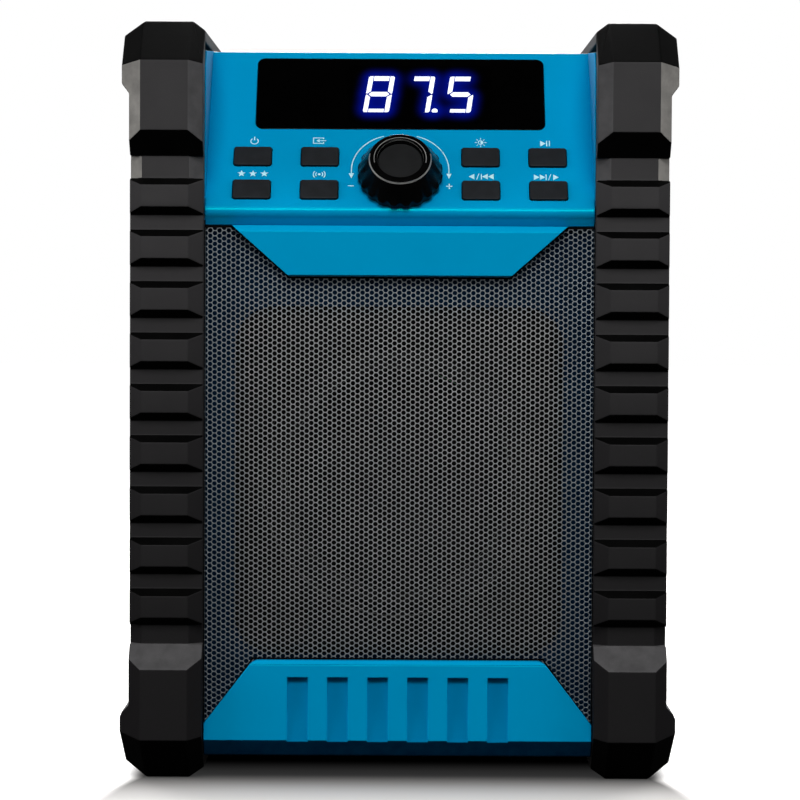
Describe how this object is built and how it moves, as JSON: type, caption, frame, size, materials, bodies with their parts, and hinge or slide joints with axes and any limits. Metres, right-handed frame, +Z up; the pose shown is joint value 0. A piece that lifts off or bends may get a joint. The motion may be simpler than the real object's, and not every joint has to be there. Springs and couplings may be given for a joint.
{
  "type": "jobsite radio",
  "caption": "Jobsite radio with rubber side bumpers, a slanted control panel with knob, keys and display, a perforated speaker grille, folding handle, battery door and telescopic antenna.",
  "frame": {"origin": "centre of the bounding box's bottom face, on the surface the four feet stand on", "axes": "+Z up; the control panel and grille face -Y; +X to the right of someone facing the front"},
  "size_m": [0.2232, 0.2, 0.305],
  "materials": {
    "blue_abs": "moulded ABS, semi gloss",
    "black_abs": "moulded ABS, fine spark texture",
    "bumper_rubber": "moulded rubber, satin",
    "grille_steel": "perforated sheet, powder coated grey",
    "screw_steel": "zinc plated",
    "key_rubber": "moulded, matt charcoal",
    "knob_abs": "moulded, satin black",
    "knob_cap_abs": "moulded, satin charcoal",
    "shaft_steel": "turned",
    "circuit_board": "glass fibre laminate",
    "switch_metal": "pressed sheet",
    "window_acrylic": "smoked acrylic, polished",
    "display_face": "moulded, with lit segments",
    "basket_steel": "pressed steel, black",
    "ferrite": "ferrite ring",
    "surround_rubber": "moulded half roll",
    "cone_paper": "pressed pulp, black",
    "coil_copper": "wound enamelled wire",
    "handle_abs": "moulded",
    "grip_rubber": "moulded rubber sleeve",
    "spring_steel": "nickel plated",
    "socket_abs": "moulded",
    "turret_abs": "moulded",
    "antenna_chrome": "chrome plated tube",
    "heat_sink_aluminium": "extruded",
    "power_unit": "potted transformer and board",
    "cable_jacket": "flat insulated leads"
  },
  "bodies": {
    "body": {"front_housing": "blue_abs", "control_panel": "blue_abs", "lower_fascia": "blue_abs", "rear_housing": "black_abs", "antenna_bracket": "black_abs", "speaker_trim": "black_abs", "left_bumper": "bumper_rubber", "right_bumper": "bumper_rubber", "speaker_grille": "grille_steel", "bumper_screws": "screw_steel", "housing_screws": "screw_steel", "speaker_screws": "screw_steel", "encoder_nut": "screw_steel", "handle_pivots": "screw_steel", "door_hinge_pin": "screw_steel", "flap_pin": "screw_steel", "encoder_body": "shaft_steel", "control_board": "circuit_board", "display_board": "circuit_board", "socket_board": "circuit_board", "main_board": "circuit_board", "tact_switches": "switch_metal", "usb_socket": "switch_metal", "display_window": "window_acrylic", "display_module": "display_face", "speaker_basket": "basket_steel", "speaker_magnet": "ferrite", "speaker_surround": "surround_rubber", "battery_springs": "spring_steel", "battery_contacts": "spring_steel", "aux_socket": "socket_abs", "dc_inlet": "socket_abs", "heat_sink": "heat_sink_aluminium", "power_supply": "power_unit", "ribbon_cable": "cable_jacket", "speaker_lead": "cable_jacket"},
    "knob": {"volume_knob": "knob_abs", "knob_cap": "knob_cap_abs", "encoder_shaft": "shaft_steel"},
    "cone": {"speaker_cone": "cone_paper", "dust_cap": "cone_paper", "voice_coil": "coil_copper"},
    "handle": {"carry_handle": "handle_abs", "handle_grip": "grip_rubber"},
    "door": {"battery_door": "black_abs"},
    "flap": {"socket_flap": "bumper_rubber"},
    "turret": {"antenna_turret": "turret_abs", "antenna_pin": "screw_steel"},
    "mast": {"antenna_tube": "antenna_chrome"},
    "mast_2": {"antenna_section_2": "antenna_chrome"},
    "mast_3": {"antenna_section_3": "antenna_chrome"},
    "mast_tip": {"antenna_tip": "antenna_chrome"},
    "power_button_key": {"power_button": "key_rubber"},
    "source_button_key": {"source_button": "key_rubber"},
    "preset_button_key": {"preset_button": "key_rubber"},
    "scan_button_key": {"scan_button": "key_rubber"},
    "brightness_button_key": {"brightness_button": "key_rubber"},
    "play_button_key": {"play_button": "key_rubber"},
    "previous_button_key": {"previous_button": "key_rubber"},
    "next_button_key": {"next_button": "key_rubber"}
  },
  "joints": [
    {"name": "knob_turn", "type": "hinge", "parent": "body", "child": "knob", "pos_m": [0, -0.0794, 0.24363], "axis": [0, -0.8192, 0.5736], "continuous": true},
    {"name": "cone_travel", "type": "slide", "parent": "body", "child": "cone", "axis": [0, -1, 0], "range_m": [-0.0015, 0.0015], "stiffness_N_per_m": 1200},
    {"name": "handle_fold", "type": "hinge", "parent": "body", "child": "handle", "pos_m": [0, 0, 0.291], "axis": [1, 0, 0], "range_deg": [0, 100]},
    {"name": "door_hinge", "type": "hinge", "parent": "body", "child": "door", "pos_m": [-0.0634, 0.0868, 0.072], "axis": [0, 0, 1], "range_deg": [0, 110]},
    {"name": "flap_hinge", "type": "hinge", "parent": "body", "child": "flap", "pos_m": [0.044, 0.0865, 0.189], "axis": [1, 0, 0], "range_deg": [0, 120]},
    {"name": "antenna_swivel", "type": "hinge", "parent": "body", "child": "turret", "pos_m": [-0.044, 0.0925, 0.135], "axis": [0, 0, 1], "range_deg": [-60, 60]},
    {"name": "antenna_tilt", "type": "hinge", "parent": "turret", "child": "mast", "pos_m": [-0.044, 0.0925, 0.144], "axis": [-1, 0, 0], "range_deg": [0, 90]},
    {"name": "antenna_slide_2", "type": "slide", "parent": "mast", "child": "mast_2", "axis": [0, 0, 1], "range_m": [0, 0.11]},
    {"name": "antenna_slide_3", "type": "slide", "parent": "mast_2", "child": "mast_3", "axis": [0, 0, 1], "range_m": [0, 0.11]},
    {"name": "antenna_slide_4", "type": "slide", "parent": "mast_3", "child": "mast_tip", "axis": [0, 0, 1], "range_m": [0, 0.11]},
    {"name": "power_press", "type": "slide", "parent": "body", "child": "power_button_key", "axis": [0, 0.8192, -0.5736], "range_m": [0, 0.0006], "stiffness_N_per_m": 400, "springref_m": -0.0004},
    {"name": "source_press", "type": "slide", "parent": "body", "child": "source_button_key", "axis": [0, 0.8192, -0.5736], "range_m": [0, 0.0006], "stiffness_N_per_m": 400, "springref_m": -0.0004},
    {"name": "preset_press", "type": "slide", "parent": "body", "child": "preset_button_key", "axis": [0, 0.8192, -0.5736], "range_m": [0, 0.0006], "stiffness_N_per_m": 400, "springref_m": -0.0004},
    {"name": "scan_press", "type": "slide", "parent": "body", "child": "scan_button_key", "axis": [0, 0.8192, -0.5736], "range_m": [0, 0.0006], "stiffness_N_per_m": 400, "springref_m": -0.0004},
    {"name": "brightness_press", "type": "slide", "parent": "body", "child": "brightness_button_key", "axis": [0, 0.8192, -0.5736], "range_m": [0, 0.0006], "stiffness_N_per_m": 400, "springref_m": -0.0004},
    {"name": "play_press", "type": "slide", "parent": "body", "child": "play_button_key", "axis": [0, 0.8192, -0.5736], "range_m": [0, 0.0006], "stiffness_N_per_m": 400, "springref_m": -0.0004},
    {"name": "previous_press", "type": "slide", "parent": "body", "child": "previous_button_key", "axis": [0, 0.8192, -0.5736], "range_m": [0, 0.0006], "stiffness_N_per_m": 400, "springref_m": -0.0004},
    {"name": "next_press", "type": "slide", "parent": "body", "child": "next_button_key", "axis": [0, 0.8192, -0.5736], "range_m": [0, 0.0006], "stiffness_N_per_m": 400, "springref_m": -0.0004}
  ]
}
